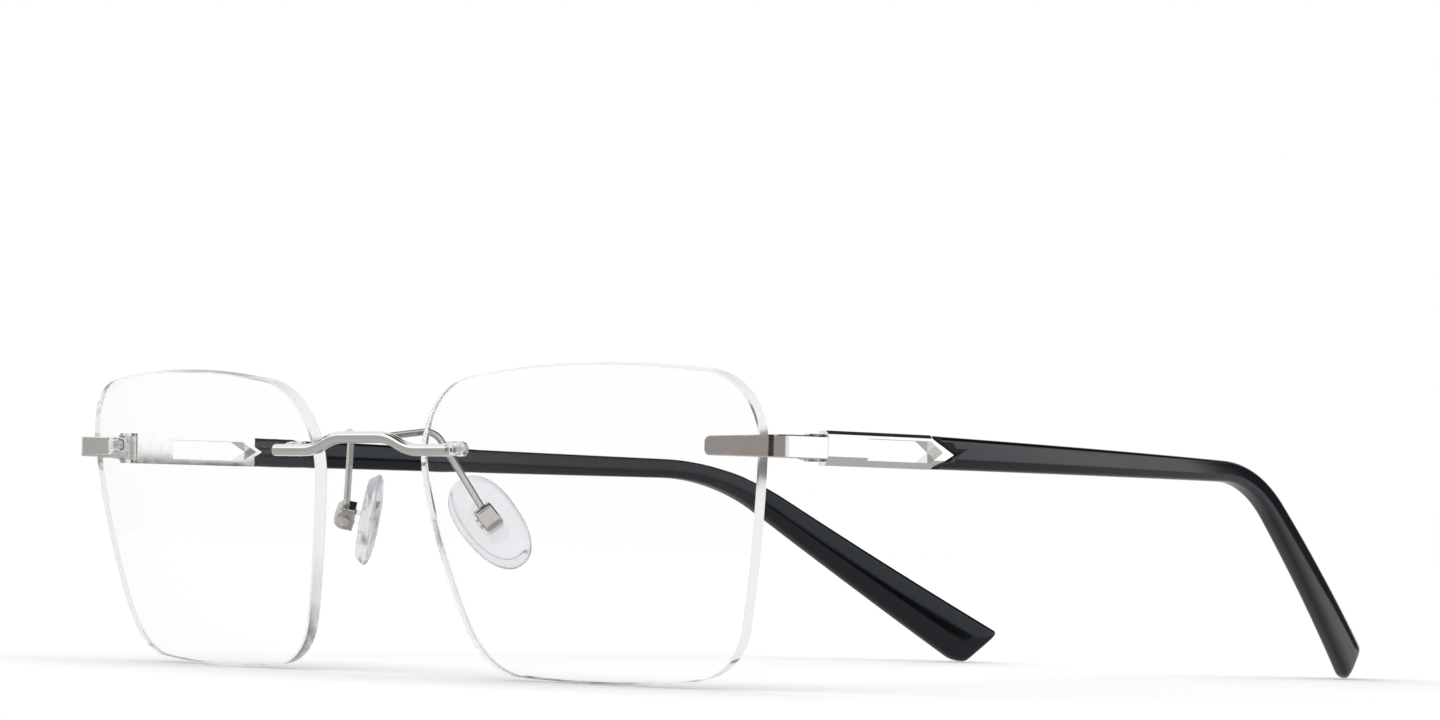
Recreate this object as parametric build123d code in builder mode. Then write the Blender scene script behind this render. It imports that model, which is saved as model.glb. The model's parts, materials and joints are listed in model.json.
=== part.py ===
"""Rimless metal eyeglasses: two drilled lenses held by a bridge and two end pieces, with folding temples.

Millimetres. +X is the wearer's left, +Y runs back along the temples, +Z is up.
The glasses stand open on a flat surface, on the lens bottoms and the temple tips.
The origin is the middle of their footprint, on that surface.
The left half is modelled, and each left piece is mirrored for the right.
"""

from build123d import *
import os
from math import cos, radians, sin, sqrt

os.makedirs("parts", exist_ok=True)

# ---- driving dimensions -------------------------------------------------------------

LENS_WIDTH = 54.0  # boxed lens width
LENS_GAP = 19.0  # between the lens boxes
LENS_THICKNESS = 1.8
LENS_RADIUS = 173.0  # front surface
LENS_WRAP = 6.2  # degrees, each lens turned back towards its temple
LENS_TILT = 9.4  # degrees, lens top leaning forward while the temples lie level
LENS_Z = 18.83  # height of the lens centres
LENS_Y = -74.28  # depth of the lens centres, so that the footprint is centred on the origin

FIT_GAP = 0.04  # radial clearance of a turning fit
SEAM_GAP = 0.1  # between the end piece and the open temple

# Heights and depths below are from the lens centres, as spot() takes them.
BRIDGE_Z = 9.0
BRIDGE_RISE = 1.6  # height of the bridge's arch above its ends
BRIDGE_Y = -3.0
BRIDGE_DEEP = 1.25
BRIDGE_TALL = 1.5
BRIDGE_REACH = 17.0  # half the bridge's length

END_PIECE_Z = 9.7
END_PIECE_THICK = 0.85

HINGE_X = 64.95
HINGE_Y = 11.25
KNUCKLE_RADIUS = 1.2
KNUCKLE_TALL = 1.32
SCREW_RADIUS = 0.5

TEMPLE_X = 65.9  # middle of the temple where it runs straight back
TEMPLE_Y = 5.5
TEMPLE_BOW = 342.0  # radius of the temple's inward bow in plan
PLATE_THICK = 2.6
PLATE_TALL = 4.06
PLATE_FRONT = HINGE_Y + SEAM_GAP / 2
PLATE_END = 29.9  # where the chevron starts
CHEVRON_TIP = 34.5
CHEVRON_THICK = 1.1  # the chevron is let into the outside of the arm
PLATE_BACK = 31.6  # the plate's square end on the inside
ARM_THICK = 3.0

PAD_LENGTH = 13.6
PAD_WIDTH = 7.6
PAD_THICK = 2.5
PAD_OFFSET = 3.06  # from the pad screw to the middle of the pad

PIN_RADIUS = 0.4
SLEEVE_RADIUS = 0.72
PIN_SPACING = 2.1


def spot(x, y, z):
    """A point given from the middle between the lens centres."""
    return Vector(x, LENS_Y + y, LENS_Z + z)


# ---- planes -------------------------------------------------------------------------

LENS_X = (LENS_GAP + LENS_WIDTH) / 2
wrap = radians(LENS_WRAP)
tilt = radians(LENS_TILT)
LENS_PLANE = Plane(
    origin=spot(LENS_X, 0, 0),
    x_dir=(cos(wrap), sin(wrap), 0),
    z_dir=(sin(wrap) * cos(tilt), -cos(wrap) * cos(tilt), -sin(tilt)),
)
SIDE_PLANE = Plane(origin=spot(0, 0, 0), x_dir=(0, 1, 0), z_dir=(1, 0, 0))
PLAN_PLANE = Plane(origin=spot(0, 0, 0))
FRONT_PLANE = Plane(origin=spot(0, 0, 0), x_dir=(1, 0, 0), z_dir=(0, -1, 0))


def lens_surface_plane(u, v):
    """The plane that touches the lens front at u across and v up, its z pointing out of the glass."""
    depth = sqrt(LENS_RADIUS**2 - u**2 - v**2)
    origin = LENS_PLANE.from_local_coords((u, v, depth - LENS_RADIUS))
    centre = LENS_PLANE.from_local_coords((0, 0, -LENS_RADIUS))
    normal = (origin - centre).normalized()
    return Plane(origin=origin, x_dir=(-normal.Y, normal.X, 0), z_dir=normal)


BRIDGE_MOUNT = lens_surface_plane(-21.3, 8.9)
END_MOUNT = lens_surface_plane(22.9, 9.6)

# The pads splay apart downwards and open towards the face.
PAD_UP = Vector(-0.55, -0.325, 0.77).normalized()
PAD_NORMAL = PAD_UP.cross(Vector(0.715, 0.698, 0.04)).normalized()
PAD_SCREW_AT = spot(13.95, 6.54, 1.0)
PAD_SCREW_AXIS = PAD_UP.cross(PAD_NORMAL)
PAD_BOX_PLANE = Plane(origin=PAD_SCREW_AT, x_dir=PAD_UP, z_dir=PAD_SCREW_AXIS)
PAD_PLANE = Plane(
    origin=PAD_SCREW_AT + PAD_NORMAL * PAD_OFFSET, x_dir=PAD_UP, z_dir=PAD_NORMAL
)


def temple_x(y):
    """Middle of the temple in plan at depth y."""
    return TEMPLE_X - (y - TEMPLE_Y) ** 2 / (2 * TEMPLE_BOW)


def write(part, name):
    part.label = name
    export_step(part, f"parts/{name}.step")


def write_pair(left_part, name):
    """Write the left piece and its mirror image."""
    write(left_part, f"{name}_left")
    with BuildPart() as right_piece:
        mirror(left_part, about=Plane.YZ)
    write(right_piece.part, f"{name}_right")


# ---- lens mounts: pins in double sleeves --------------------------------------------

FLANGE_THICK = 0.7
PIN_LENGTH = 0.35 + LENS_THICKNESS + FLANGE_THICK


def mount_pins(mount):
    """Two pins through the lens, from just in front of it to the back of the flange."""
    with BuildPart() as pins:
        with BuildSketch(mount.offset(0.35)):
            with GridLocations(PIN_SPACING, 0, 2, 1):
                Circle(PIN_RADIUS)
        extrude(amount=-PIN_LENGTH - 0.1)
    return pins.part


def mount_bushing(mount, pins):
    """Two clear sleeves joined by a flange behind the lens."""
    with BuildPart() as bushing:
        with BuildSketch(mount.offset(-0.02)):
            with GridLocations(PIN_SPACING, 0, 2, 1):
                Circle(SLEEVE_RADIUS)
        extrude(amount=-LENS_THICKNESS)
        with BuildSketch(mount.offset(-LENS_THICKNESS - 0.02)):
            SlotCenterToCenter(PIN_SPACING, 2 * SLEEVE_RADIUS + 0.4)
        extrude(amount=-FLANGE_THICK)
        back_rim = bushing.faces().sort_by(Axis(mount.origin, mount.z_dir))[0].edges()
        fillet(back_rim, 0.25)
        add(pins, mode=Mode.SUBTRACT)
    return bushing.part


bridge_pins = mount_pins(BRIDGE_MOUNT)
end_piece_pins = mount_pins(END_MOUNT)
bridge_bushings = mount_bushing(BRIDGE_MOUNT, bridge_pins)
end_piece_bushings = mount_bushing(END_MOUNT, end_piece_pins)

write_pair(bridge_pins, "bridge_pins")
write_pair(end_piece_pins, "end_piece_pins")
write_pair(bridge_bushings, "bridge_bushings")
write_pair(end_piece_bushings, "end_piece_bushings")

# ---- lens ---------------------------------------------------------------------------

# Each corner of the outline is rounded, and each side is bowed by its sagitta.
LENS_CORNERS = {
    "upper_nasal": ((-27.3, 15.8), 11.0),
    "upper_temporal": ((27.6, 17.2), 8.0),
    "lower_temporal": ((20.8, -17.9), 9.0),
    "lower_nasal": ((-18.7, -18.5), 9.5),
}
LENS_BOWS = [2.85, 1.5, 1.1, 1.95]  # top, temporal side, bottom, nasal side

with BuildPart() as lens:
    with BuildSketch(LENS_PLANE) as lens_outline:
        corners = [corner for corner, _ in LENS_CORNERS.values()]
        with BuildLine():
            for start, end, bow in zip(corners, corners[1:] + corners[:1], LENS_BOWS):
                SagittaArc(start, end, bow)
        make_face()
        for corner, radius in LENS_CORNERS.values():
            fillet(lens_outline.vertices().sort_by_distance(corner)[0], radius)
    extrude(amount=8, both=True)
    with Locations(LENS_PLANE.from_local_coords((0, 0, -LENS_RADIUS))):
        Sphere(LENS_RADIUS, mode=Mode.INTERSECT)
        Sphere(LENS_RADIUS - LENS_THICKNESS, mode=Mode.SUBTRACT)
    rims = lens.faces().sort_by(SortBy.AREA)[-2:].edges()
    chamfer(rims, 0.18)
    for mount in (BRIDGE_MOUNT, END_MOUNT):
        with BuildSketch(mount):
            with GridLocations(PIN_SPACING, 0, 2, 1):
                Circle(SLEEVE_RADIUS)
        extrude(amount=3, both=True, mode=Mode.SUBTRACT)
write_pair(lens.part, "lens")

# ---- bridge -------------------------------------------------------------------------

with BuildPart() as bridge:
    with BuildLine(FRONT_PLANE.offset(-BRIDGE_Y)) as bridge_path:
        bridge_top = BRIDGE_Z + BRIDGE_RISE
        FilletPolyline(
            (-BRIDGE_REACH, BRIDGE_Z),
            (-9.1, BRIDGE_Z),
            (-5.2, bridge_top),
            (5.2, bridge_top),
            (9.1, BRIDGE_Z),
            (BRIDGE_REACH, BRIDGE_Z),
            radius=9,
        )
    with BuildSketch(Plane(origin=bridge_path.line @ 0, x_dir=(0, 0, 1), z_dir=(1, 0, 0))):
        RectangleRounded(BRIDGE_TALL, BRIDGE_DEEP, 0.55)
    sweep()
    bridge_ends = bridge.faces().sort_by(Axis.X)
    fillet(bridge_ends[0].edges() + bridge_ends[-1].edges(), 0.5)
    add(bridge_pins, mode=Mode.SUBTRACT)
    mirror(bridge_pins, about=Plane.YZ, mode=Mode.SUBTRACT)
write(bridge.part, "bridge")

# ---- end piece: a flat strip along the lens front, bent back beside the temple -------

END_INNER = (57.0, 1.1)
END_CORNER = (67.2, 3.5)
END_BACK = (67.2, HINGE_Y - SEAM_GAP / 2)
END_EDGE = 0.14

with BuildPart() as end_piece:
    with BuildSketch(PLAN_PLANE.offset(END_PIECE_Z)):
        with BuildLine():
            outer = FilletPolyline(END_INNER, END_CORNER, END_BACK, radius=2.4)
            offset(outer, amount=END_PIECE_THICK, side=Side.LEFT)
        make_face()
    extrude(amount=2, both=True)
    with BuildSketch(FRONT_PLANE):
        with BuildLine():
            FilletPolyline(
                (60.0, END_PIECE_Z + 1.19),
                (56.9, END_PIECE_Z + 1.13),
                (56.9, END_PIECE_Z - 1.13),
                (60.0, END_PIECE_Z - 1.19),
                radius=0.6,
            )
            Polyline(
                (60.0, END_PIECE_Z - 1.19),
                (67.3, END_PIECE_Z - 1.36),
                (67.3, END_PIECE_Z + 1.36),
                (60.0, END_PIECE_Z + 1.19),
            )
        make_face()
    extrude(amount=20, both=True, mode=Mode.INTERSECT)
    chamfer(end_piece.edges().filter_by(lambda edge: edge.length > 4), END_EDGE)
    add(end_piece_pins, mode=Mode.SUBTRACT)
write_pair(end_piece.part, "end_piece")

# ---- hinge --------------------------------------------------------------------------

HINGE_PLANE = Plane(origin=spot(HINGE_X, HINGE_Y, END_PIECE_Z))
HINGE_TOP = 1.6  # half the height of the hinge, lower than the temple beside it
SCREW_HEAD_RADIUS = 0.85
SCREW_HEAD_TALL = 0.4
SLOT_WIDE = 0.22
SLOT_DEEP = 0.15

with BuildPart() as hinge_screw:
    with BuildSketch(HINGE_PLANE.offset(-HINGE_TOP)):
        Circle(SCREW_RADIUS)
    extrude(amount=2 * HINGE_TOP - SCREW_HEAD_TALL)
    with BuildSketch(HINGE_PLANE.offset(HINGE_TOP - SCREW_HEAD_TALL)):
        Circle(SCREW_HEAD_RADIUS)
    extrude(amount=SCREW_HEAD_TALL)
    with BuildSketch(HINGE_PLANE.offset(HINGE_TOP)):
        Rectangle(3, SLOT_WIDE, rotation=30)
    extrude(amount=-SLOT_DEEP, mode=Mode.SUBTRACT)
write_pair(hinge_screw.part, "hinge_screw")

# The front leaf: a block inside the end piece, narrowing forwards, with the middle knuckle.
LEAF_THICK = 0.9  # from the hinge's axis to the block's inner face
LEAF_EDGE = ((9.6, 1.36), (7.8, 1.0))  # depth and half height of the block's side view
KNUCKLE_CLEARANCE = 0.08
with BuildPart() as hinge_front:
    leaf_edge = [(END_BACK[1], HINGE_TOP), *LEAF_EDGE]
    leaf_top = [(y, END_PIECE_Z + z) for y, z in leaf_edge]
    leaf_bottom = [(y, END_PIECE_Z - z) for y, z in reversed(leaf_edge)]
    with BuildSketch(SIDE_PLANE.offset(HINGE_X - LEAF_THICK)):
        with BuildLine():
            FilletPolyline(*leaf_top, *leaf_bottom, radius=0.4)
            Line(leaf_bottom[-1], leaf_top[0])
        make_face()
    extrude(amount=END_BACK[0] - END_PIECE_THICK - HINGE_X + LEAF_THICK)
    with BuildSketch(HINGE_PLANE):
        Circle(KNUCKLE_RADIUS + KNUCKLE_CLEARANCE)
    extrude(amount=5, both=True, mode=Mode.SUBTRACT)
    with BuildSketch(HINGE_PLANE.offset(-KNUCKLE_TALL / 2)):
        Circle(KNUCKLE_RADIUS)
        with Locations((-0.1, -1.0)):
            Rectangle(1.6, 1.2)
    extrude(amount=KNUCKLE_TALL)
    with BuildSketch(HINGE_PLANE):
        Circle(SCREW_RADIUS + FIT_GAP)
    extrude(amount=5, both=True, mode=Mode.SUBTRACT)
write_pair(hinge_front.part, "hinge_front")

# The rear leaf: knuckles above and below, with the screw head let into the upper one.
KNUCKLE_GAP = 0.04
with BuildPart() as hinge_rear:
    for below in (False, True):
        inner_face = KNUCKLE_TALL / 2 + KNUCKLE_GAP
        start = -HINGE_TOP if below else inner_face
        with BuildSketch(HINGE_PLANE.offset(start)):
            Circle(KNUCKLE_RADIUS)
        extrude(amount=HINGE_TOP - inner_face)
    add(hinge_screw.part, mode=Mode.SUBTRACT)
write_pair(hinge_rear.part, "hinge_rear")

# ---- temple -------------------------------------------------------------------------


def plan_band(y_start, y_end, sides_start, sides_end):
    """Plan outline of a bowed bar; sides are its inner and outer offsets from the middle."""
    y_middle = (y_start + y_end) / 2
    inside, outside = [], []
    for y, share in ((y_start, 0), (y_middle, 0.5), (y_end, 1)):
        inner, outer = (
            first + (last - first) * share for first, last in zip(sides_start, sides_end)
        )
        inside.append((temple_x(y) + inner, y))
        outside.append((temple_x(y) + outer, y))
    with BuildSketch(PLAN_PLANE) as band:
        with BuildLine():
            ThreePointArc(*outside)
            Line(outside[-1], inside[-1])
            ThreePointArc(*inside[::-1])
            Line(inside[0], outside[0])
        make_face()
    return band.sketch


PLATE_Z = END_PIECE_Z
CORE_START = 33.9
CORE_TALL = 1.4
CORE_THICK = 0.8
CORE_RADIUS = 33
EAR_CORNER = (108.6, 9.1)  # where the middle lines of the level part and the ear part meet
CORE_END = (140, -12.4)

with BuildPart() as temple_core:
    with BuildSketch(SIDE_PLANE):
        with BuildLine():
            core_line = FilletPolyline(
                (CORE_START, PLATE_Z), EAR_CORNER, CORE_END, radius=CORE_RADIUS
            )
            offset(core_line, amount=CORE_TALL / 2, side=Side.BOTH)
        make_face()
    extrude(amount=90)
    core_sides = (-CORE_THICK / 2, CORE_THICK / 2)
    add(plan_band(CORE_START, 145, core_sides, core_sides))
    extrude(amount=40, both=True, mode=Mode.INTERSECT)
write_pair(temple_core.part, "temple_core")

WINDOW_FRONT = 18.2
WINDOW_END = 29.6
WINDOW_TIP = 31.9
WINDOW_TALL = 2.6
WINDOW_RIM = 0.45  # metal left round the window's point on the inside
UPPER_BEVEL = 0.42
LOWER_BEVEL_TALL = 1.05
LOWER_BEVEL_DEEP = 0.45
OUTER_SIDE = PLATE_THICK / 2

# The window's point has the same slope inside and out, so its rim on the inside is parallel to it.
window_slope = (WINDOW_TALL / 2) / (WINDOW_TIP - WINDOW_END)
RIM_TIP = WINDOW_TIP + WINDOW_RIM * sqrt(1 + 1 / window_slope**2)
RIM_HALF = (RIM_TIP - PLATE_BACK) * window_slope


def side_outline(front, half_tall, shape):
    """Outline in side view: a bar from y = front, ended by the (y, half height) points of shape."""
    upper = [(front, half_tall)] + shape
    lower = [(y, -z) for y, z in reversed(upper) if z > 0]
    with BuildSketch(SIDE_PLANE) as outline:
        with BuildLine():
            Polyline(*[(y, PLATE_Z + z) for y, z in upper + lower], close=True)
        make_face()
    return outline.sketch


half = PLATE_TALL / 2
outer_layer = side_outline(PLATE_FRONT, half, [(PLATE_END, half), (CHEVRON_TIP, 0)])
inner_layer = side_outline(
    PLATE_FRONT, half, [(PLATE_BACK, half), (PLATE_BACK, RIM_HALF), (RIM_TIP, 0)]
)
window = side_outline(WINDOW_FRONT, WINDOW_TALL / 2, [(WINDOW_END, WINDOW_TALL / 2), (WINDOW_TIP, 0)])


def plate_layer(outline, inner, outer):
    """A side outline between two offsets from the temple's middle."""
    with BuildPart() as layer:
        add(outline)
        extrude(amount=90, dir=(1, 0, 0))
        add(plan_band(PLATE_FRONT, 40, (inner, outer), (inner, outer)))
        extrude(amount=40, both=True, mode=Mode.INTERSECT)
    return layer.part


with BuildPart() as plate_blank:
    add(plate_layer(outer_layer, OUTER_SIDE - CHEVRON_THICK, OUTER_SIDE))
    add(plate_layer(inner_layer, -OUTER_SIDE, OUTER_SIDE - CHEVRON_THICK))

with BuildPart() as temple_plate:
    add(plate_blank.part)
    outer_face = temple_plate.faces().filter_by(lambda face: face.area > 40).sort_by(Axis.X)[-1]
    long_edges = outer_face.edges().filter_by(lambda edge: edge.length > 4)
    upper_edges = long_edges.filter_by(lambda edge: edge.center().Z > LENS_Z + PLATE_Z + 0.5)
    lower_edges = long_edges.filter_by(lambda edge: edge.center().Z < LENS_Z + PLATE_Z - 0.5)
    chamfer(upper_edges, UPPER_BEVEL)
    chamfer(lower_edges, LOWER_BEVEL_TALL, LOWER_BEVEL_DEEP, reference=outer_face)
    add(window)
    extrude(amount=90, dir=(1, 0, 0), mode=Mode.SUBTRACT)
    with BuildSketch(HINGE_PLANE.offset(-PLATE_TALL / 2)):
        Circle(KNUCKLE_RADIUS)
    extrude(amount=PLATE_TALL, mode=Mode.SUBTRACT)
    with BuildSketch(HINGE_PLANE.offset(-KNUCKLE_TALL / 2 - KNUCKLE_GAP)):
        Circle(KNUCKLE_RADIUS + KNUCKLE_CLEARANCE)
    extrude(amount=KNUCKLE_TALL + 2 * KNUCKLE_GAP, mode=Mode.SUBTRACT)
    add(temple_core.part, mode=Mode.SUBTRACT)
write_pair(temple_plate.part, "temple_plate")

# The arm's upper and lower edges in side view: its start, the corner over the ear, and its end.
ARM_CORNER_TOP = (109.5, 10.43)
ARM_CORNER_BOTTOM = (107.8, 7.8)
ARM_TIP_TOP = (152.2, -14.3)
ARM_TIP_BACK = (146.4, -18.85)
ARM_TIP_BOTTOM = (143.4, -18.6)
ARM_STEP = 0.05  # the arm is this much lower than the plate on each side
ARM_EDGE = 0.8

with BuildPart() as temple_arm:
    with BuildSketch(SIDE_PLANE):
        with BuildLine():
            start_top = (PLATE_END, PLATE_Z + half - ARM_STEP)
            start_bottom = (PLATE_END, PLATE_Z - half + ARM_STEP)
            FilletPolyline(start_top, ARM_CORNER_TOP, ARM_TIP_TOP, radius=40)
            FilletPolyline(ARM_TIP_TOP, ARM_TIP_BACK, ARM_TIP_BOTTOM, radius=0.6)
            FilletPolyline(ARM_TIP_BOTTOM, ARM_CORNER_BOTTOM, start_bottom, radius=27)
            Line(start_bottom, start_top)
        make_face()
    extrude(amount=90)
    arm_side = ARM_THICK / 2
    add(plan_band(PLATE_END - 0.1, 160, (-OUTER_SIDE, OUTER_SIDE), (-arm_side, arm_side)))
    extrude(amount=40, both=True, mode=Mode.INTERSECT)
    fillet(temple_arm.edges().filter_by(lambda edge: edge.length > 12), ARM_EDGE)
    add(plate_blank.part, mode=Mode.SUBTRACT)
    add(temple_core.part, mode=Mode.SUBTRACT)
write_pair(temple_arm.part, "temple_arm")

# ---- nose pads ----------------------------------------------------------------------

PAD_WIRE_RADIUS = 0.43
BOX_LONG = 3.3
BOX_WIDE = 2.4
BOX_FRONT = 1.1  # from the screw to the face turned to the pad
BOX_BACK = 1.35
BOX_EDGE = 0.4
POCKET_LONG = 2.5
POCKET_DEEP = 0.8
STEM_THICK = 1.1
STEM_RADIUS = 0.72
PAD_SCREW_RADIUS = 0.4

with BuildPart() as pad_screw:
    with BuildSketch(PAD_BOX_PLANE.offset(-BOX_WIDE / 2)):
        Circle(PAD_SCREW_RADIUS)
    extrude(amount=BOX_WIDE)
    with BuildSketch(PAD_BOX_PLANE.offset(BOX_WIDE / 2)):
        Circle(0.7)
    extrude(amount=0.3)
    with BuildSketch(PAD_BOX_PLANE.offset(BOX_WIDE / 2 + 0.3)):
        Rectangle(2, SLOT_WIDE)
    extrude(amount=-SLOT_DEEP, mode=Mode.SUBTRACT)
write_pair(pad_screw.part, "pad_screw")

# D-shaped in side view, its round back away from the pad.
with BuildPart() as pad_box_blank:
    with BuildSketch(PAD_BOX_PLANE.offset(-BOX_WIDE / 2)) as pad_box_profile:
        with Locations((0, (BOX_FRONT - BOX_BACK) / 2)):
            Rectangle(BOX_LONG, BOX_FRONT + BOX_BACK)
        fillet(pad_box_profile.vertices().group_by(Axis.Y)[0], 1.2)
    extrude(amount=BOX_WIDE)
    box_front = pad_box_blank.faces().sort_by(Axis(PAD_SCREW_AT, PAD_NORMAL))[-1]
    fillet(pad_box_blank.edges() - box_front.edges(), BOX_EDGE)

with BuildPart() as pad_box:
    add(pad_box_blank.part)
    with BuildSketch(PAD_BOX_PLANE.offset(-STEM_THICK / 2 - 0.05)):
        with Locations((0, 2 - POCKET_DEEP)):
            Rectangle(POCKET_LONG, 4)
    extrude(amount=STEM_THICK + 0.1, mode=Mode.SUBTRACT)
    add(pad_screw.part, mode=Mode.SUBTRACT)
write_pair(pad_box.part, "pad_box")

# A wire from the back of the bridge, arching back and then down to the box.
with BuildPart() as pad_arm:
    with BuildLine() as pad_wire:
        FilletPolyline(
            spot(4.0, -2.9, 10.65), spot(8.3, 2.4, 11.6), spot(13.4, 6.15, 1.9), radius=2.2
        )
    with BuildSketch(Plane(origin=pad_wire.line @ 0, z_dir=pad_wire.line % 0)):
        Circle(PAD_WIRE_RADIUS)
    sweep()
    add(bridge.part, mode=Mode.SUBTRACT)
    add(pad_box_blank.part, mode=Mode.SUBTRACT)
write_pair(pad_arm.part, "pad_arm")

# The stem turns on the screw inside the box, and its base plate is moulded into the pad.
with BuildPart() as pad_stem:
    with BuildSketch(PAD_BOX_PLANE.offset(-STEM_THICK / 2)):
        Circle(STEM_RADIUS)
        with Locations((0, PAD_OFFSET / 2)):
            Rectangle(2 * STEM_RADIUS, PAD_OFFSET)
    extrude(amount=STEM_THICK)
    with BuildSketch(PAD_PLANE.offset(-PAD_THICK / 4)):
        SlotOverall(6.0, 2.8)
    extrude(amount=0.5)
    with BuildSketch(PAD_BOX_PLANE):
        Circle(PAD_SCREW_RADIUS + FIT_GAP)
    extrude(amount=2, both=True, mode=Mode.SUBTRACT)
write_pair(pad_stem.part, "nose_pad_stem")

with BuildPart() as nose_pad:
    with BuildSketch(PAD_PLANE.offset(-PAD_THICK / 2)):
        Ellipse(PAD_LENGTH / 2, PAD_WIDTH / 2)
    extrude(amount=PAD_THICK)
    fillet(nose_pad.edges(), 0.7)
    add(pad_stem.part, mode=Mode.SUBTRACT)
write_pair(nose_pad.part, "nose_pad")
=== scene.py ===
"""Rimless eyeglasses in a white studio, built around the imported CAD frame. Metres."""

import json
from math import cos, pi, radians, sin, tan

import bmesh
import bpy
from mathutils import Matrix, Vector


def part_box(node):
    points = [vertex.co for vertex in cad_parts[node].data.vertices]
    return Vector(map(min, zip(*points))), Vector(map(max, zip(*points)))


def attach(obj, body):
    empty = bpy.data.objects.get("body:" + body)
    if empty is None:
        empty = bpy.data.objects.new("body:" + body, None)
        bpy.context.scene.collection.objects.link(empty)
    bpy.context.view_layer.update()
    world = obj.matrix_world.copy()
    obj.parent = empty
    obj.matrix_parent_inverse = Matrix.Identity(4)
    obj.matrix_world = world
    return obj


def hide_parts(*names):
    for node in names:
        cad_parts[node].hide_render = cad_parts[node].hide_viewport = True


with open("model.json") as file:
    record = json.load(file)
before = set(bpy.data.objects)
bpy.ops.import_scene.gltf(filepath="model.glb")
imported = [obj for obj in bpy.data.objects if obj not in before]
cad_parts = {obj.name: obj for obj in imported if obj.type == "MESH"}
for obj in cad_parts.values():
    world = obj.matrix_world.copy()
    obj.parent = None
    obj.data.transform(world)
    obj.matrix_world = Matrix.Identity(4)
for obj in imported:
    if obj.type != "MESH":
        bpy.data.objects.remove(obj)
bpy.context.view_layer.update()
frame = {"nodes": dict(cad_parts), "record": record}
NODES = frame["nodes"]
MM = 0.001
SIDES = (("left", 1), ("right", -1))
collection = bpy.context.scene.collection

# ---- camera ---------------------------------------------------------------------------

CAMERA_AZIMUTH = radians(45.67)
CAMERA_ELEVATION = radians(-2.198)
CAMERA_ROLL = radians(1.194)
CAMERA_LENS = 119.26
CAMERA_SENSOR = 36
CAMERA_NEAR = 0.01
CAMERA_FROM_ORIGIN = Vector((454.645 * MM, -459.391 * MM, 17.212 * MM))


def make_camera():
    """Camera looking back along its azimuth and elevation, rolled a little."""
    flat = cos(CAMERA_ELEVATION)
    back = Vector(
        (sin(CAMERA_AZIMUTH) * flat, -cos(CAMERA_AZIMUTH) * flat, sin(CAMERA_ELEVATION))
    )
    level = (-back).cross(Vector((0, 0, 1))).normalized()
    upright = level.cross(-back)
    c, s = cos(CAMERA_ROLL), sin(CAMERA_ROLL)
    right, up = level * c + upright * s, upright * c - level * s
    data = bpy.data.cameras.new("camera")
    data.lens = CAMERA_LENS
    data.sensor_width = CAMERA_SENSOR
    data.clip_start = CAMERA_NEAR
    camera = bpy.data.objects.new("camera", data)
    turn = Matrix((right, up, back)).transposed().to_4x4()
    camera.matrix_world = Matrix.Translation(CAMERA_FROM_ORIGIN) @ turn
    collection.objects.link(camera)
    bpy.context.scene.camera = camera


make_camera()

# ---- node helpers ---------------------------------------------------------------------


class Tree:
    """A node tree with short calls for adding and joining nodes."""

    def __init__(self, owner):
        owner.use_nodes = True
        self.nodes = owner.node_tree.nodes
        self.links = owner.node_tree.links

    def add(self, kind, **values):
        node = self.nodes.new(kind)
        for name, value in values.items():
            if hasattr(node, name):
                setattr(node, name, value)
            else:
                self.put(node, name.replace("_", " "), value)
        return node

    def put(self, node, socket, value):
        target = node.inputs[socket]
        if isinstance(value, bpy.types.NodeSocket):
            self.links.new(value, target)
        else:
            target.default_value = value

    def math(self, operation, first, second=0.0):
        node = self.add("ShaderNodeMath", operation=operation)
        self.put(node, 0, first)
        self.put(node, 1, second)
        return node.outputs[0]

    def span(self, value, low, high, to_low=0.0, to_high=1.0, smooth=True):
        """The value's place between low and high, mapped to the other range and clamped."""
        node = self.add("ShaderNodeMapRange")
        node.interpolation_type = "SMOOTHSTEP" if smooth else "LINEAR"
        for socket, number in zip((0, 1, 2, 3, 4), (value, low, high, to_low, to_high)):
            self.put(node, socket, number)
        return node.outputs[0]

    def blend(self, share, first, second):
        """Mix of two colours; sockets 6 and 7 are the colour inputs of a mix node."""
        node = self.add("ShaderNodeMix", data_type="RGBA")
        self.put(node, 0, share)
        self.put(node, 6, first)
        self.put(node, 7, second)
        return node.outputs[2]


def grey(level):
    return (level, level, level, 1.0)


# ---- studio ---------------------------------------------------------------------------


def toward(azimuth, elevation):
    """Direction at azimuth degrees from -Y towards +X, and elevation degrees up."""
    a, e = radians(azimuth), radians(elevation)
    return (sin(a) * cos(e), -cos(a) * cos(e), sin(e))


# Round panels in the white room, seen only by reflections and by the light on matt surfaces:
# azimuth, elevation, the angles from its middle up to which a panel is whole and beyond which
# it is gone, and its colour. Later rows lie over earlier ones.
PANELS = (
    (180, 55, 32, 42, (0.03, 0.03, 0.035)),
    (-45, 60, 16, 22, (0.04, 0.04, 0.045)),
    (-46, 22, 12, 18, (1.25, 1.25, 1.25)),
    (-76, 15, 9, 12, (0.045, 0.055, 0.07)),
    (-20, 0, 9, 20, (0.34, 0.315, 0.30)),
    (50, 0, 30, 44, (0.33, 0.30, 0.28)),
    (6, 0, 12, 17, (0.035, 0.032, 0.032)),
    (184, 4, 12, 18, (0.05, 0.055, 0.065)),
    (136, 2, 20, 30, (1.32, 1.32, 1.32)),
)
ROOM_LIGHT = 1.0
# The table's far edge, in front and to the right of the wearer: a grey band, as wide as a round
# panel at this azimuth, whole below EDGE_FULL degrees up and gone above EDGE_TOP.
EDGE_AZIMUTH, EDGE_WHOLE, EDGE_GONE = -56, 24, 30
EDGE_FULL, EDGE_TOP = 5.0, 9.0
EDGE_COLOUR = (0.46, 0.44, 0.415)


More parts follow.
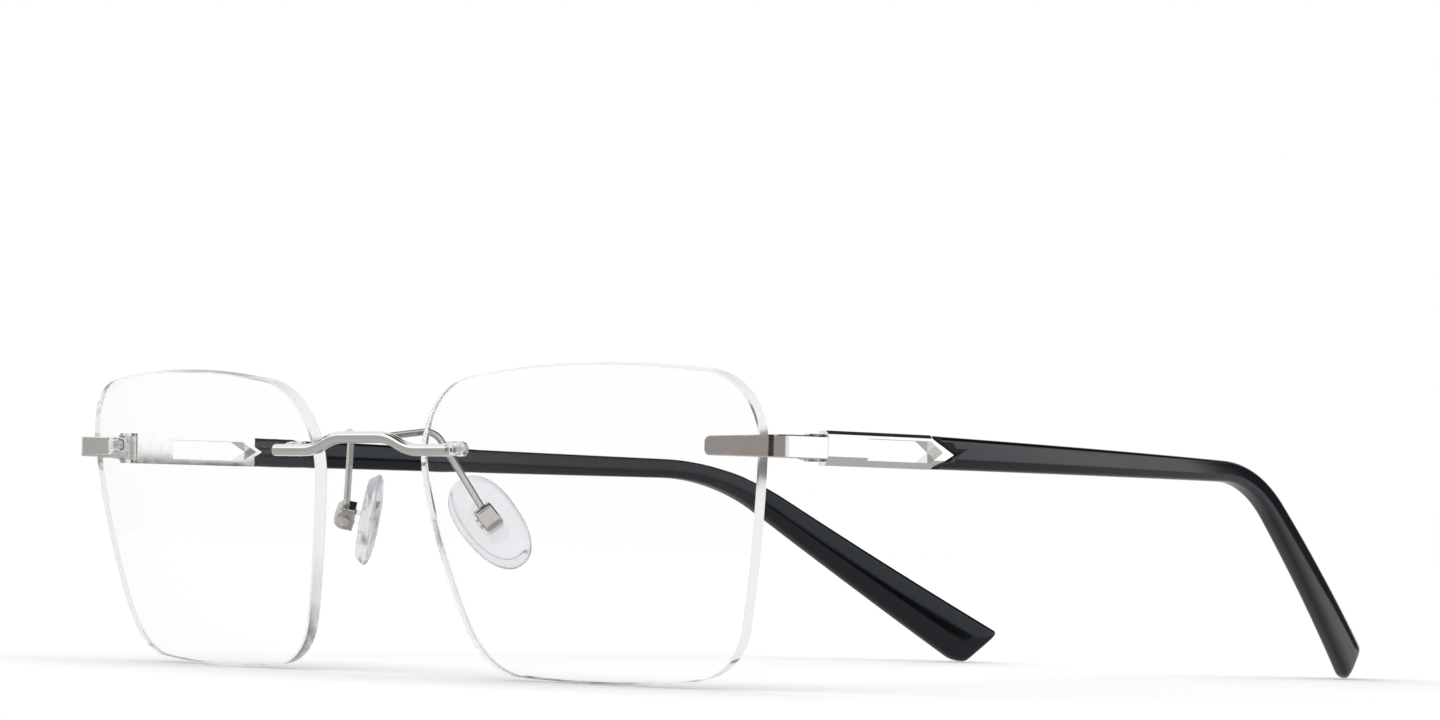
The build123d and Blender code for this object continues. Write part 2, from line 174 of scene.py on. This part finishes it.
def panel_share(tree, where, azimuth, elevation, whole, gone):
    """1 inside a round panel, 0 outside it."""
    dot = tree.add("ShaderNodeVectorMath", operation="DOT_PRODUCT")
    tree.put(dot, 0, where)
    tree.put(dot, 1, toward(azimuth, elevation))
    return tree.span(dot.outputs["Value"], cos(radians(gone)), cos(radians(whole)))


def make_world():
    world = bpy.data.worlds.new("studio")
    bpy.context.scene.world = world
    tree = Tree(world)
    where = tree.add("ShaderNodeTexCoord").outputs["Generated"]
    height = tree.add("ShaderNodeSeparateXYZ")
    tree.put(height, 0, where)
    below = tree.span(height.outputs["Z"], sin(radians(EDGE_TOP)), sin(radians(EDGE_FULL)))
    front = panel_share(tree, where, EDGE_AZIMUTH, 0, EDGE_WHOLE, EDGE_GONE)
    edge = tree.math("MULTIPLY", below, front)
    colour = tree.blend(edge, grey(1.0), (*EDGE_COLOUR, 1.0))
    for azimuth, elevation, whole, gone, tint in PANELS:
        inside = panel_share(tree, where, azimuth, elevation, whole, gone)
        colour = tree.blend(inside, colour, (*tint, 1.0))
    room = tree.add("ShaderNodeBackground", Strength=ROOM_LIGHT)
    tree.put(room, "Color", colour)
    plain = tree.add("ShaderNodeBackground", Color=grey(1.0), Strength=1.0)
    path = tree.add("ShaderNodeLightPath")
    seen = tree.math("MAXIMUM", path.outputs["Is Camera Ray"], path.outputs["Is Transmission Ray"])
    mix = tree.add("ShaderNodeMixShader")
    tree.put(mix, 0, seen)
    tree.put(mix, 1, room.outputs[0])
    tree.put(mix, 2, plain.outputs[0])
    tree.put(tree.nodes["World Output"], "Surface", mix.outputs[0])


FLOOR_SIZE = 6.0
FLOOR_DROP = 0.02 * MM  # keeps the floor clear of the lens bottoms
PAPER = 0.8
FLOOR_GLOW = 0.56  # lifts the paper to the backdrop's white, so that no horizon shows
SHADOW_REACH = 40 * MM  # how far from the object its painted contact shadow reaches
SHADOW_GLOW = 0.15  # share of the glow left in the deepest painted shadow
DEEPEST = 0.35  # share of open sky there
SHADOW_SAMPLES = 16
FLOOR_REFLECTED = 0.50  # the paper as the metal mirrors it


def make_floor():
    mesh = bpy.data.meshes.new("floor")
    s = FLOOR_SIZE
    mesh.from_pydata([(-s, -s, 0), (s, -s, 0), (s, s, 0), (-s, s, 0)], [], [(0, 1, 2, 3)])
    floor = bpy.data.objects.new("floor", mesh)
    floor.location.z = -FLOOR_DROP
    collection.objects.link(floor)
    material = bpy.data.materials.new("floor_paper")
    tree = Tree(material)
    paper = tree.nodes["Principled BSDF"]
    tree.put(paper, "Base Color", grey(PAPER))
    tree.put(paper, "Roughness", 1.0)
    tree.put(paper, "Specular IOR Level", 0.0)
    tree.put(paper, "Emission Color", grey(1.0))
    # Painted contact shadow: the paper's glow is dimmed wherever ambient occlusion finds the
    # glasses close above it, so the darkening is drawn into the floor's emission rather than cast
    # by the lamps.
    nearby = tree.add(
        "ShaderNodeAmbientOcclusion", samples=SHADOW_SAMPLES, Distance=SHADOW_REACH
    )
    shaded = FLOOR_GLOW * SHADOW_GLOW
    glow = tree.span(nearby.outputs["AO"], DEEPEST, 1.0, shaded, FLOOR_GLOW, smooth=False)
    tree.put(paper, "Emission Strength", glow)
    mirrored = tree.add("ShaderNodeEmission", Color=grey(FLOOR_REFLECTED), Strength=1.0)
    path = tree.add("ShaderNodeLightPath")
    mix = tree.add("ShaderNodeMixShader")
    tree.put(mix, 0, path.outputs["Is Reflection Ray"])
    tree.put(mix, 1, paper.outputs[0])
    tree.put(mix, 2, mirrored.outputs[0])
    tree.put(tree.nodes["Material Output"], "Surface", mix.outputs[0])
    mesh.materials.append(material)


make_world()
make_floor()
bpy.context.scene.view_settings.view_transform = "Standard"

# ---- materials ------------------------------------------------------------------------


def new_material(name, **values):
    material = bpy.data.materials.new(name)
    tree = Tree(material)
    shader = tree.nodes["Principled BSDF"]
    for socket, value in values.items():
        tree.put(shader, socket.replace("_", " "), value)
    return material, tree, shader


def object_noise(tree, scale, detail=3.0):
    where = tree.add("ShaderNodeTexCoord").outputs["Object"]
    noise = tree.add("ShaderNodeTexNoise", Scale=scale, Detail=detail)
    tree.put(noise, "Vector", where)
    return noise.outputs["Fac"]


NOISE_LOW, NOISE_HIGH = 0.3, 0.7  # most of a noise texture's values lie between these


def varied(tree, noise, low, high):
    """A value that follows the noise from low to high."""
    return tree.span(noise, NOISE_LOW, NOISE_HIGH, low, high)


CLOUD_SCALE = 160.0
CLOUD_DETAIL = 2.0
CLOUD_SHADE = 0.93
RELIEF_DEPTH = 0.02 * MM


def metal(name, colour, roughness, grain, scale, bump):
    """Plated metal: a fine polishing grain in its gloss and surface, and faint clouding."""
    material, tree, shader = new_material(name, Metallic=1.0)
    fine = object_noise(tree, scale)
    broad = object_noise(tree, CLOUD_SCALE, CLOUD_DETAIL)
    darker = tuple(c * CLOUD_SHADE for c in colour)
    tree.put(shader, "Base Color", tree.blend(broad, (*colour, 1), (*darker, 1)))
    tree.put(shader, "Roughness", varied(tree, fine, roughness, roughness + grain))
    relief = tree.add("ShaderNodeBump", Strength=bump, Distance=RELIEF_DEPTH)
    tree.put(relief, "Height", fine)
    tree.put(shader, "Normal", relief.outputs[0])
    return material


LENS_IOR = 1.2  # low, so that the edge stays light as in a white room
FACE_SIDE, EDGE_SIDE = 0.93, 0.85  # front-to-back part of the normal on the faces and on the edge
EDGE_TINT = (0.96, 0.97, 0.98, 1)
EDGE_CLEAR = 0.72
EDGE_ROUGH = (0.10, 0.18)
FROST_SCALE = 400.0


def lens_glass():
    """Clear plastic, its ground edge a little frosted."""
    material, tree, shader = new_material("clear_lens", IOR=LENS_IOR)
    facing = tree.add("ShaderNodeTexCoord").outputs["Normal"]
    split = tree.add("ShaderNodeSeparateXYZ")
    tree.put(split, 0, facing)
    across = tree.math("ABSOLUTE", split.outputs["Y"])
    edge = tree.span(across, FACE_SIDE, EDGE_SIDE)
    frost = object_noise(tree, FROST_SCALE)
    tree.put(shader, "Base Color", tree.blend(edge, grey(1.0), EDGE_TINT))
    clear = tree.span(edge, 0.0, 1.0, 1.0, EDGE_CLEAR, smooth=False)
    tree.put(shader, "Transmission Weight", clear)
    rough = tree.math("MULTIPLY", edge, varied(tree, frost, *EDGE_ROUGH))
    tree.put(shader, "Roughness", rough)
    return material


MILK_SCALE = 260.0
MILK_ROUGHER = 1.8
MILK_THINNER = 0.7


def clear_plastic(name, colour, ior, roughness, milk):
    """Clear moulded plastic with a little unevenly spread milkiness."""
    material, tree, shader = new_material(name, IOR=ior)
    cloud = object_noise(tree, MILK_SCALE)
    tree.put(shader, "Base Color", (*colour, 1))
    rough = varied(tree, cloud, roughness, roughness * MILK_ROUGHER)
    clear = varied(tree, cloud, 1 - milk, 1 - milk * MILK_THINNER)
    tree.put(shader, "Roughness", rough)
    tree.put(shader, "Transmission Weight", clear)
    return material


ACETATE_IOR = 1.48
ACETATE_SCALE = 90.0
ACETATE_DARK = (0.0035, 0.0035, 0.004, 1)
ACETATE_LIGHT = (0.006, 0.006, 0.0075, 1)
ACETATE_ROUGH = (0.05, 0.09)
ACETATE_SHINE = (0.82, 0.91, 1.0, 1)


def acetate():
    """Polished black acetate, its reflections a little blue."""
    material, tree, shader = new_material("black_acetate", IOR=ACETATE_IOR)
    cloud = object_noise(tree, ACETATE_SCALE)
    tree.put(shader, "Base Color", tree.blend(cloud, ACETATE_DARK, ACETATE_LIGHT))
    tree.put(shader, "Roughness", varied(tree, cloud, *ACETATE_ROUGH))
    tree.put(shader, "Specular Tint", ACETATE_SHINE)
    return material


SLOT_MATERIALS = {
    "polished_metal": metal("polished_metal", (0.82, 0.81, 0.80), 0.06, 0.03, 900, 0.015),
    "satin_metal": metal("satin_metal", (0.55, 0.53, 0.51), 0.09, 0.04, 900, 0.02),
    "screw_steel": metal("screw_steel", (0.70, 0.69, 0.68), 0.12, 0.05, 900, 0.02),
    "core_metal": metal("core_metal", (0.55, 0.54, 0.53), 0.3, 0.1, 2500, 0.1),
    "clear_lens": lens_glass(),
    "clear_nylon": clear_plastic("clear_nylon", (0.98, 0.985, 0.99), 1.38, 0.03, 0.03),
    "clear_silicone": clear_plastic("clear_silicone", (0.955, 0.965, 0.99), 1.33, 0.13, 0.22),
    "black_acetate": acetate(),
}
SLOT_OF_NODE = {row["node"]: row["material_slot"] for row in frame["record"]["subparts"]}

for name, node in NODES.items():
    node.data.materials.clear()
    node.data.materials.append(SLOT_MATERIALS[SLOT_OF_NODE[name]])

# ---- temple arms ----------------------------------------------------------------------

# The arm's profile is given in millimetres from the middle between the lens centres, as
# (back, up). The CAD arm's rear end and the plate's mid-height say where that middle is.
plate_low, plate_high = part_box("temple_plate_left")
ARM_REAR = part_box("temple_arm_left")[1].y
REAR_FROM_MIDDLE = 152.2 * MM
PLATE_UP = 9.7
plate_middle = (plate_low.z + plate_high.z) / 2
MIDDLE = Vector((0, ARM_REAR - REAR_FROM_MIDDLE, plate_middle - PLATE_UP * MM))

TEMPLE_X = 65.9  # out from the middle plane, where the temple's bow begins
TEMPLE_BEND_START = 5.5
TEMPLE_BOW = 342.0
ARM_START = 29.0
ARM_TOP = ((ARM_START, 11.71), (109.5, 10.43), (151.6, -13.95))
ARM_BOTTOM = ((ARM_START, 7.69), (107.8, 7.8), (145.05, -18.1))
TOP_RADIUS = 40.0
BOTTOM_RADIUS = 27.0
EAR_DIRECTION = Vector((0.84, -0.54))  # the way the ear part runs
THICK_START = 2.56
THICK_END = 3.0
RING = 40
STEPS = (26, 22, 26)  # along the level part, the bend and the ear part
TIP_ROUND = 1.25
TIP_STEPS = 7
TIP_REACH = 1.2  # how far the tip bulges, in rounding radii at its mid-height
TIP_SLANT = 0.45  # and how much farther at its lower edge
SQUARE_POWER = 4.6  # of the section's superellipse at the plate
ROUND_POWER = 3.2  # and round the ear
POWER_START, POWER_RUN = 0.8, 1.6  # where the section starts to change, and how long it takes


def filleted(points, radius):
    """A function of 0..3 along two straight runs joined by an arc."""
    start, corner, end = (Vector(point) for point in points)
    before, after = (start - corner).normalized(), (end - corner).normalized()
    half_angle = before.angle(after) / 2
    reach = radius / tan(half_angle)
    arc_start, arc_end = corner + before * reach, corner + after * reach
    centre = corner + (before + after).normalized() * (radius / sin(half_angle))
    spoke = arc_start - centre
    turn = spoke.angle_signed(arc_end - centre)

    def at(t):
        if t <= 1:
            return start.lerp(arc_start, t)
        if t >= 2:
            return arc_end.lerp(end, t - 2)
        angle = -turn * (t - 1)
        c, s = cos(angle), sin(angle)
        return centre + Vector((spoke.x * c - spoke.y * s, spoke.x * s + spoke.y * c))

    return at


def temple_x(y):
    """Middle of the bowed temple, from the glasses' middle plane."""
    return TEMPLE_X - (y - TEMPLE_BEND_START) ** 2 / (2 * TEMPLE_BOW)


def superellipse(angle, power):
    """A point of the superellipse in the unit square; power 2 is a circle."""
    c, s = cos(angle), sin(angle)
    x = abs(c) ** (2 / power) * (1 if c >= 0 else -1)
    y = abs(s) ** (2 / power) * (1 if s >= 0 else -1)
    return x, y


def arm_rings():
    """Sections of the left arm from the plate to its rounded tip."""
    top, bottom = filleted(ARM_TOP, TOP_RADIUS), filleted(ARM_BOTTOM, BOTTOM_RADIUS)
    stations = [
        part + step / count for part, count in enumerate(STEPS) for step in range(count)
    ] + [3.0]
    rings = []
    for t in stations + [3.0] * TIP_STEPS:
        share = t / 3
        upper, lower = top(t), bottom(t)
        tip = max(0, len(rings) - len(stations) + 1) / TIP_STEPS * pi / 2
        middle, half = (upper + lower) / 2, (upper - lower) / 2
        thick = (THICK_START + (THICK_END - THICK_START) * share) / 2
        shrink = TIP_ROUND * (1 - cos(tip))
        change = min(1, max(0, (t - POWER_START) / POWER_RUN))
        power = SQUARE_POWER + (ROUND_POWER - SQUARE_POWER) * change
        ring = []
        for step in range(RING):
            across, along = superellipse(2 * pi * (step + 0.5) / RING, power)
            flat = middle + half * (along * (1 - shrink / half.length))
            bulge = TIP_ROUND * sin(tip) * (TIP_REACH - TIP_SLANT * along)
            flat += EAR_DIRECTION * bulge
            x = temple_x(flat.x) + across * (thick - shrink)
            ring.append(Vector((x, flat.x, flat.y)) * MM + MIDDLE)
        rings.append(ring)
    return rings


def mesh_from_rings(name, rings, mirrored):
    """A closed skin over the rings, for the right side when mirrored."""
    work = bmesh.new()
    made = [
        [work.verts.new((-v.x if mirrored else v.x, v.y, v.z)) for v in ring] for ring in rings
    ]
    count = len(rings[0])
    for first, second in zip(made, made[1:]):
        for i in range(count):
            j = (i + 1) % count
            work.faces.new((first[i], first[j], second[j], second[i]))
    work.faces.new(made[0])
    work.faces.new(made[-1])
    bmesh.ops.recalc_face_normals(work, faces=work.faces)
    mesh = bpy.data.meshes.new(name)
    work.to_mesh(mesh)
    work.free()
    return mesh


def prism_mesh(name, outline, x_from, x_to, mirrored):
    """A closed prism across the temple: outline is (back, up) points."""
    ends = []
    for x in (x_from, x_to):
        ends.append([Vector((x, y, z)) * MM + MIDDLE for y, z in outline])
    return mesh_from_rings(name, ends, mirrored)


def cut_away(piece, cutter_mesh):
    """Subtract the cutter from the piece's mesh and remove the cutter."""
    cutter = bpy.data.objects.new("cutter", cutter_mesh)
    collection.objects.link(cutter)
    boolean = piece.modifiers.new("cut", "BOOLEAN")
    boolean.operation = "DIFFERENCE"
    boolean.solver = "EXACT"
    boolean.object = cutter
    graph = bpy.context.evaluated_depsgraph_get()
    result = bpy.data.meshes.new_from_object(piece.evaluated_get(graph))
    piece.modifiers.clear()
    piece.data = result
    bpy.data.objects.remove(cutter)
    bpy.data.meshes.remove(cutter_mesh)


# The metal plate's end, cut out of the arm: a chevron in its outer layer, and inside that a
# square end with a small point. Each is given by its upper (back, up from mid-height) corners.
CUT_START, CUT_HALF = 20, 2.2
CHEVRON = ((CUT_START, CUT_HALF), (29.55, CUT_HALF), (34.5, 0))
SQUARE_END = ((CUT_START, CUT_HALF), (31.6, CUT_HALF), (31.6, 0.68), (32.8, 0))
LAYERS_MEET = TEMPLE_X - 0.65
LAYER_OVERLAP = 0.01
CUT_OUTWARD, CUT_INWARD = 3, 5


def make_arm(side, sign):
    mesh = mesh_from_rings(f"temple_arm_shell_{side}", arm_rings(), sign < 0)
    arm = bpy.data.objects.new(f"temple_arm_shell_{side}", mesh)
    collection.objects.link(arm)
    for corners, x_from, x_to in (
        (CHEVRON, LAYERS_MEET, TEMPLE_X + CUT_OUTWARD),
        (SQUARE_END, TEMPLE_X - CUT_INWARD, LAYERS_MEET + LAYER_OVERLAP),
    ):
        lower = [(y, -z) for y, z in reversed(corners) if z > 0]
        outline = [(y, PLATE_UP + z) for y, z in [*corners, *lower]]
        cut_away(arm, prism_mesh("cut", outline, x_from, x_to, sign < 0))
    arm.data.materials.clear()
    arm.data.materials.append(SLOT_MATERIALS["black_acetate"])
    for polygon in arm.data.polygons:
        polygon.use_smooth = True
    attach(arm, f"temple_{side}")
    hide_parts(f"temple_arm_{side}")


for side, sign in SIDES:
    make_arm(side, sign)

# ---- nose pads ------------------------------------------------------------------------

PAD_LONG = 13.6 * MM / 2
PAD_WIDE = 7.6 * MM / 2
PAD_HALF_THICK = 1.25 * MM
# Share of the outline and height of each ring, from the flat back to the domed face.
PAD_PROFILE = (
    (0.30, -0.80),
    (0.60, -0.80),
    (0.80, -0.80),
    (0.84, -0.74),
    (0.87, -0.60),
    (0.95, -0.15),
    (0.985, 0.10),
    (0.985, 0.30),
    (0.95, 0.50),
    (0.85, 0.72),
    (0.65, 0.88),
    (0.35, 0.97),
)
PAD_RING = 56
PAD_POWER = 2.25
PAD_EGG = 0.06  # how much wider the upper end is
# The left pad's long axis, and the way its face looks, towards the nose.
PAD_ALONG = Vector((-0.55, -0.325, 0.77)).normalized()
PAD_FACE = PAD_ALONG.cross(Vector((0.715, 0.698, 0.04))).normalized()
PAD_ACROSS = PAD_FACE.cross(PAD_ALONG)


def make_pad(side, sign):
    low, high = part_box("nose_pad_left")
    middle = (low + high) / 2
    rings = []
    for share, height in PAD_PROFILE:
        ring = []
        for step in range(PAD_RING):
            u, v = superellipse(2 * pi * step / PAD_RING, PAD_POWER)
            u, v = u * share, v * share * (1 + PAD_EGG * u)
            flat = PAD_ALONG * (u * PAD_LONG) + PAD_ACROSS * (v * PAD_WIDE)
            ring.append(middle + flat + PAD_FACE * (height * PAD_HALF_THICK))
        rings.append(ring)
    mesh = mesh_from_rings(f"nose_pad_soft_{side}", rings, sign < 0)
    pad = bpy.data.objects.new(f"nose_pad_soft_{side}", mesh)
    collection.objects.link(pad)
    smooth = pad.modifiers.new("smooth", "SUBSURF")
    smooth.levels = smooth.render_levels = 1
    for polygon in mesh.polygons:
        polygon.use_smooth = True
    mesh.materials.append(SLOT_MATERIALS["clear_silicone"])
    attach(pad, f"pad_{side}")
    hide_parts(f"nose_pad_{side}")


for side, sign in SIDES:
    make_pad(side, sign)
